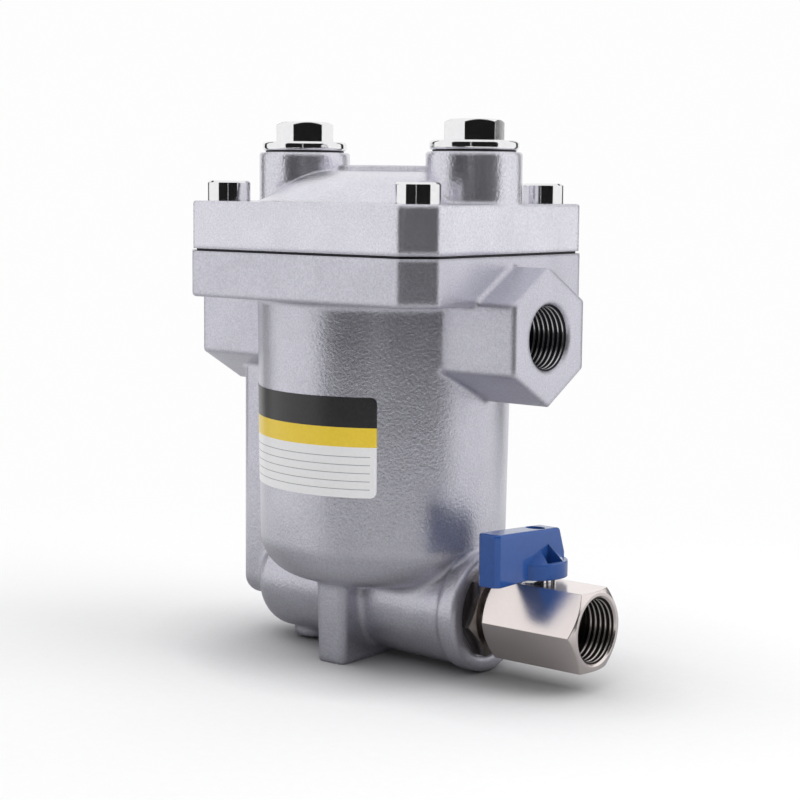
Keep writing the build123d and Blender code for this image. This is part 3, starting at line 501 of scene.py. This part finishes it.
def board(name, start, end, finish):
    """Curved upright board between two yaw angles in degrees, measured from the camera's own."""
    steps = 24
    points, faces = [], []
    for step in range(steps + 1):
        yaw = VIEW_YAW + math.radians(start + (end - start) * step / steps)
        for z in (BOARD_BASE_Z, BOARD_TOP_Z):
            points.append((BOARD_RADIUS * math.sin(yaw), -BOARD_RADIUS * math.cos(yaw), z))
    for step in range(steps):
        first = 2 * step
        faces.append((first, first + 1, first + 3, first + 2))
    piece = stage_mesh(name, points, faces, finish)
    piece.visible_camera = False
    piece.visible_diffuse = False
    piece.visible_shadow = False
    piece.visible_transmission = False


black = Finish("black_board", Roughness=1.0, Specular_IOR_Level=0.0)
black_tone = black.between(black.noise(40), (0.012, 0.012, 0.012), (0.018, 0.018, 0.018))
board_finish = black.feed(Base_Color=black_tone)
board("front_board_left", -55, -7.2, board_finish)
board("front_board_right", -5.8, 58, board_finish)
board("rear_board_left", -136, -122, board_finish)
board("rear_board_right", 122, 136, board_finish)

WHITE = (0.985, 0.985, 0.985, 1.0)
FLOOR_HALF_SIDE = 4.0
GLOW_START = 0.12      # the floor fades to plain white from here outwards
GLOW_WIDTH = 0.2
PAINTED_CONTACT_SHADOW_REACH = 0.045

paper = Finish("floor_paper", Roughness=0.9, Specular_IOR_Level=0.2)
fibre = paper.noise(300, detail=2)
sheet = paper.between(fibre, (0.88, 0.88, 0.885), (0.91, 0.91, 0.915))
# Painted contact shadow: the floor's colour darkens to grey where ambient occlusion finds the object close
# by.
openness = paper.add(
    "ShaderNodeAmbientOcclusion", {"samples": 8}, {"Distance": PAINTED_CONTACT_SHADOW_REACH}, output="AO")
sheet = paper.between(openness, (0.3, 0.3, 0.31), sheet)
# Painted reflection shade: in reflections near the object, the floor's colour is a dark grey, which darkens
# the metal's lower faces.
mirrored = paper.add("ShaderNodeLightPath", output="Is Glossy Ray")
paper.feed(Base_Color=paper.between(mirrored, sheet, (0.37, 0.37, 0.375)))
seen = (paper.add("ShaderNodeLightPath", output="Is Camera Ray") + mirrored).clipped()
from_object = paper.add("ShaderNodeVectorMath", {"operation": "LENGTH"}, {0: paper.place}, output="Value")
far = ((from_object - GLOW_START) / GLOW_WIDTH).clipped()
glow = paper.add("ShaderNodeEmission", {}, {"Color": WHITE, "Strength": 1.0})
lit = Value(paper, paper.shader.outputs["BSDF"])
surface = paper.add("ShaderNodeMixShader", {}, {0: far * seen, 1: lit, 2: glow})
paper.tree.links.new(surface.socket, paper.tree.nodes["Material Output"].inputs["Surface"])
corners = [(-FLOOR_HALF_SIDE, -FLOOR_HALF_SIDE, 0), (FLOOR_HALF_SIDE, -FLOOR_HALF_SIDE, 0),
           (FLOOR_HALF_SIDE, FLOOR_HALF_SIDE, 0), (-FLOOR_HALF_SIDE, FLOOR_HALF_SIDE, 0)]
stage_mesh("floor", corners, [(0, 1, 2, 3)], paper.material)

ZENITH_LIGHT = 1.05
HORIZON_LIGHT = 0.15
world = bpy.data.worlds.new("surround")
world.use_nodes = True
bpy.context.scene.world = world
surround = Tree(world.node_tree)
shown = surround.add("ShaderNodeLightPath", output="Is Camera Ray")
shown = shown + surround.add("ShaderNodeLightPath", output="Is Glossy Ray")
shown = (shown + surround.add("ShaderNodeLightPath", output="Is Transmission Ray")).clipped()
direction = surround.add("ShaderNodeTexCoord", output="Generated")
upwards = surround.add("ShaderNodeSeparateXYZ", {}, {0: direction}, output="Z")
soft_sky = surround.maths("MAXIMUM", upwards, 0.0) * ZENITH_LIGHT + HORIZON_LIGHT
backdrop = world.node_tree.nodes["Background"]
backdrop.inputs["Color"].default_value = WHITE
world.node_tree.links.new((shown + (1 - shown) * soft_sky).socket, backdrop.inputs["Strength"])


def softbox(name, yaw, height, distance, size, power):
    """Square lamp aimed at the middle of the bowl, its yaw in degrees from the camera's own."""
    lamp = bpy.data.lights.new(name, "AREA")
    lamp.size = size
    lamp.energy = power
    stand = bpy.data.objects.new(name, lamp)
    stand.visible_glossy = False
    bpy.context.scene.collection.objects.link(stand)
    turn = VIEW_YAW + math.radians(yaw)
    middle = (cad_box[0] + cad_box[1]) / 2
    stand.location = middle + Vector((math.sin(turn) * distance, -math.cos(turn) * distance, height))
    stand.rotation_mode = "QUATERNION"
    stand.rotation_quaternion = (middle - stand.location).to_track_quat("-Z", "Y")


softbox("key_softbox", -115, 0.55, 0.55, 0.45, 1.3)
softbox("fill_softbox", 70, 0.45, 0.7, 0.5, 2.9)


# ---------------------------------------------------------------- camera
# It looks slightly down on the front right corner, from a little above the cover.
# A long lens keeps the uprights nearly parallel.

VIEW_PITCH = math.radians(6.74)
VIEW_ROLL = math.radians(0.55)
VIEW_DISTANCE = 612.2 * MM
AIM_RIGHT = 5.28 * MM
AIM_HEIGHT = 85.51 * MM
FOCAL_LENGTH = 81.94
SENSOR_WIDTH = 36.0
level = Vector((math.sin(VIEW_YAW), -math.cos(VIEW_YAW), 0.0))
towards_camera = level * math.cos(VIEW_PITCH) + Vector((0.0, 0.0, math.sin(VIEW_PITCH)))
aim = Vector((math.cos(VIEW_YAW) * AIM_RIGHT, math.sin(VIEW_YAW) * AIM_RIGHT, AIM_HEIGHT))
lens = bpy.data.cameras.new("camera")
lens.sensor_width = SENSOR_WIDTH
lens.lens = FOCAL_LENGTH
lens.clip_start = 0.01
camera = bpy.data.objects.new("camera", lens)
bpy.context.scene.collection.objects.link(camera)
camera.location = aim + towards_camera * VIEW_DISTANCE
camera.rotation_mode = "QUATERNION"
camera.rotation_quaternion = (-towards_camera).to_track_quat("-Z", "Y") @ Quaternion((0, 0, 1), VIEW_ROLL)
bpy.context.scene.camera = camera
bpy.context.scene.view_settings.view_transform = "Standard"
